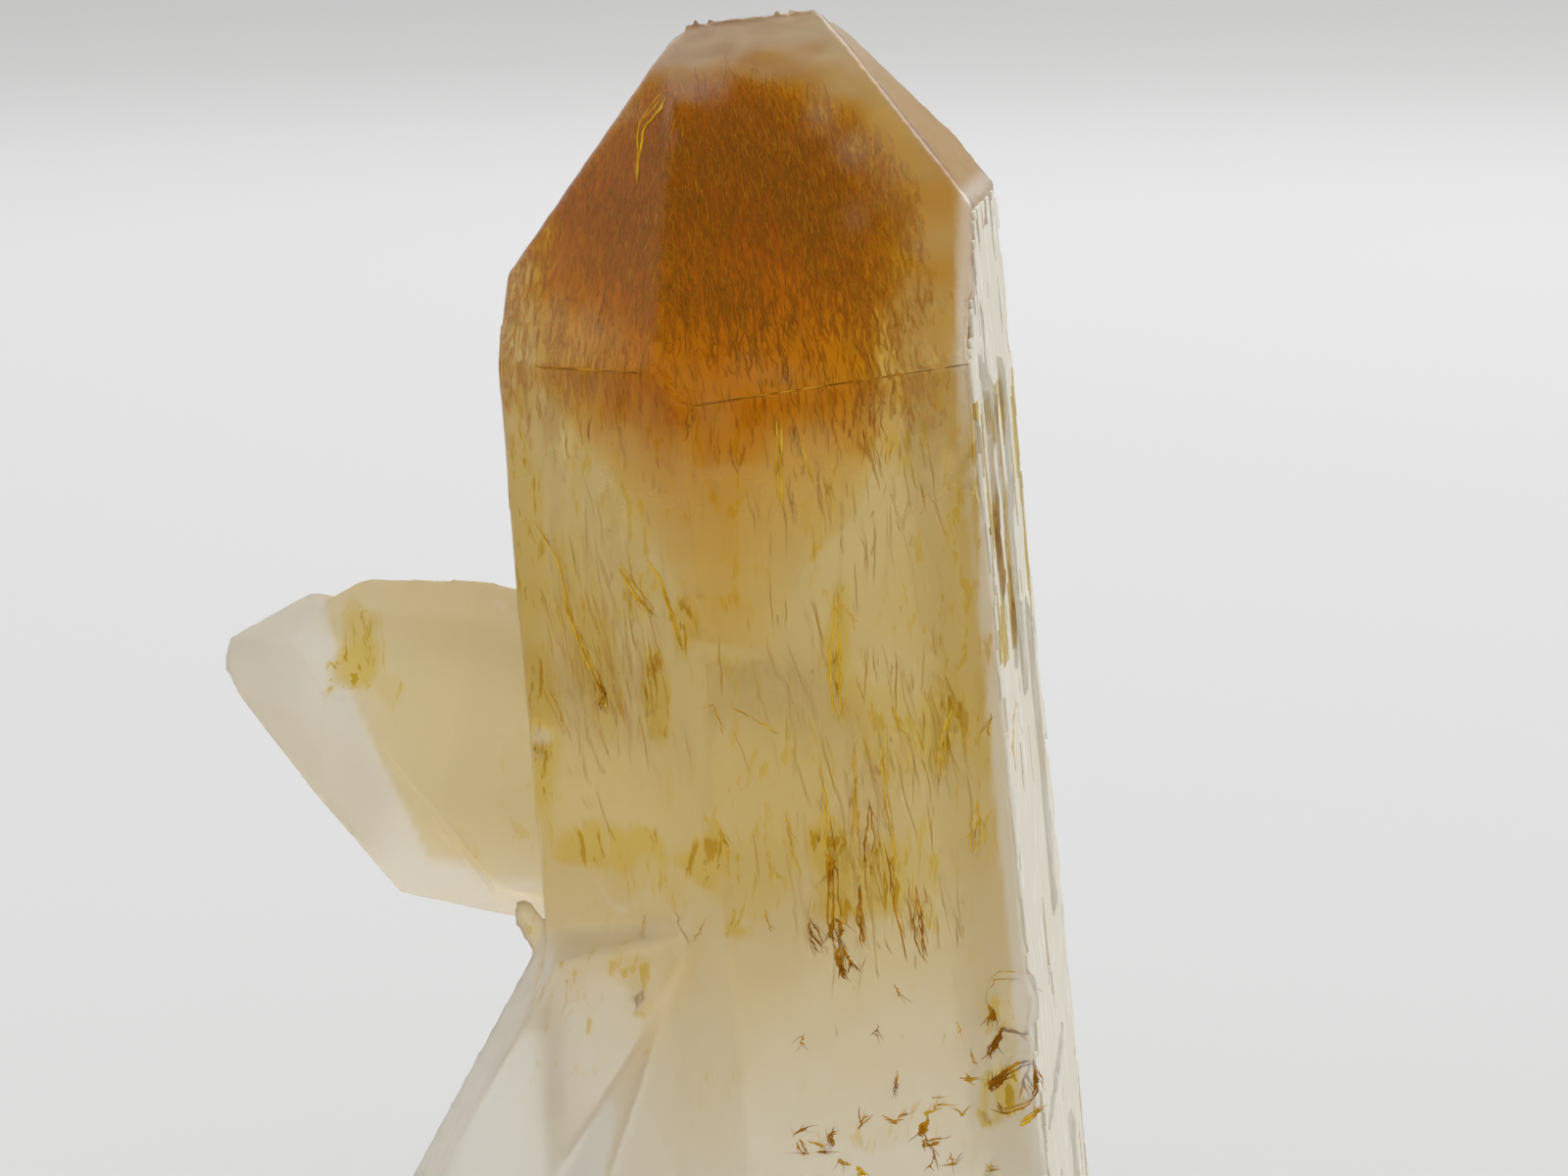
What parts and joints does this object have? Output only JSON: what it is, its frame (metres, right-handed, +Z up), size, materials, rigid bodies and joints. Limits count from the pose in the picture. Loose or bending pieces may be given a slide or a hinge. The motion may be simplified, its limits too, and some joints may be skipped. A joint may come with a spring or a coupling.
{
  "type": "mango quartz cluster",
  "caption": "Stout six-sided quartz point with an amber tip and threads, smaller points grown on its left side, on a broken root cut flat.",
  "frame": {"origin": "on the flat cut base, under the middle of the specimen, where its own axis line meets the ground", "axes": "+Z up, close to the main point's long axis; -Y towards the front face of the main point; +X to the viewer's right, so the side points lie towards -X"},
  "size_m": [0.0494, 0.034, 0.0752],
  "materials": {
    "mango_quartz": "natural crystal faces, clear with amber threads"
  },
  "bodies": {
    "root": {"quartz_cluster": "mango_quartz"}
  },
  "joints": []
}
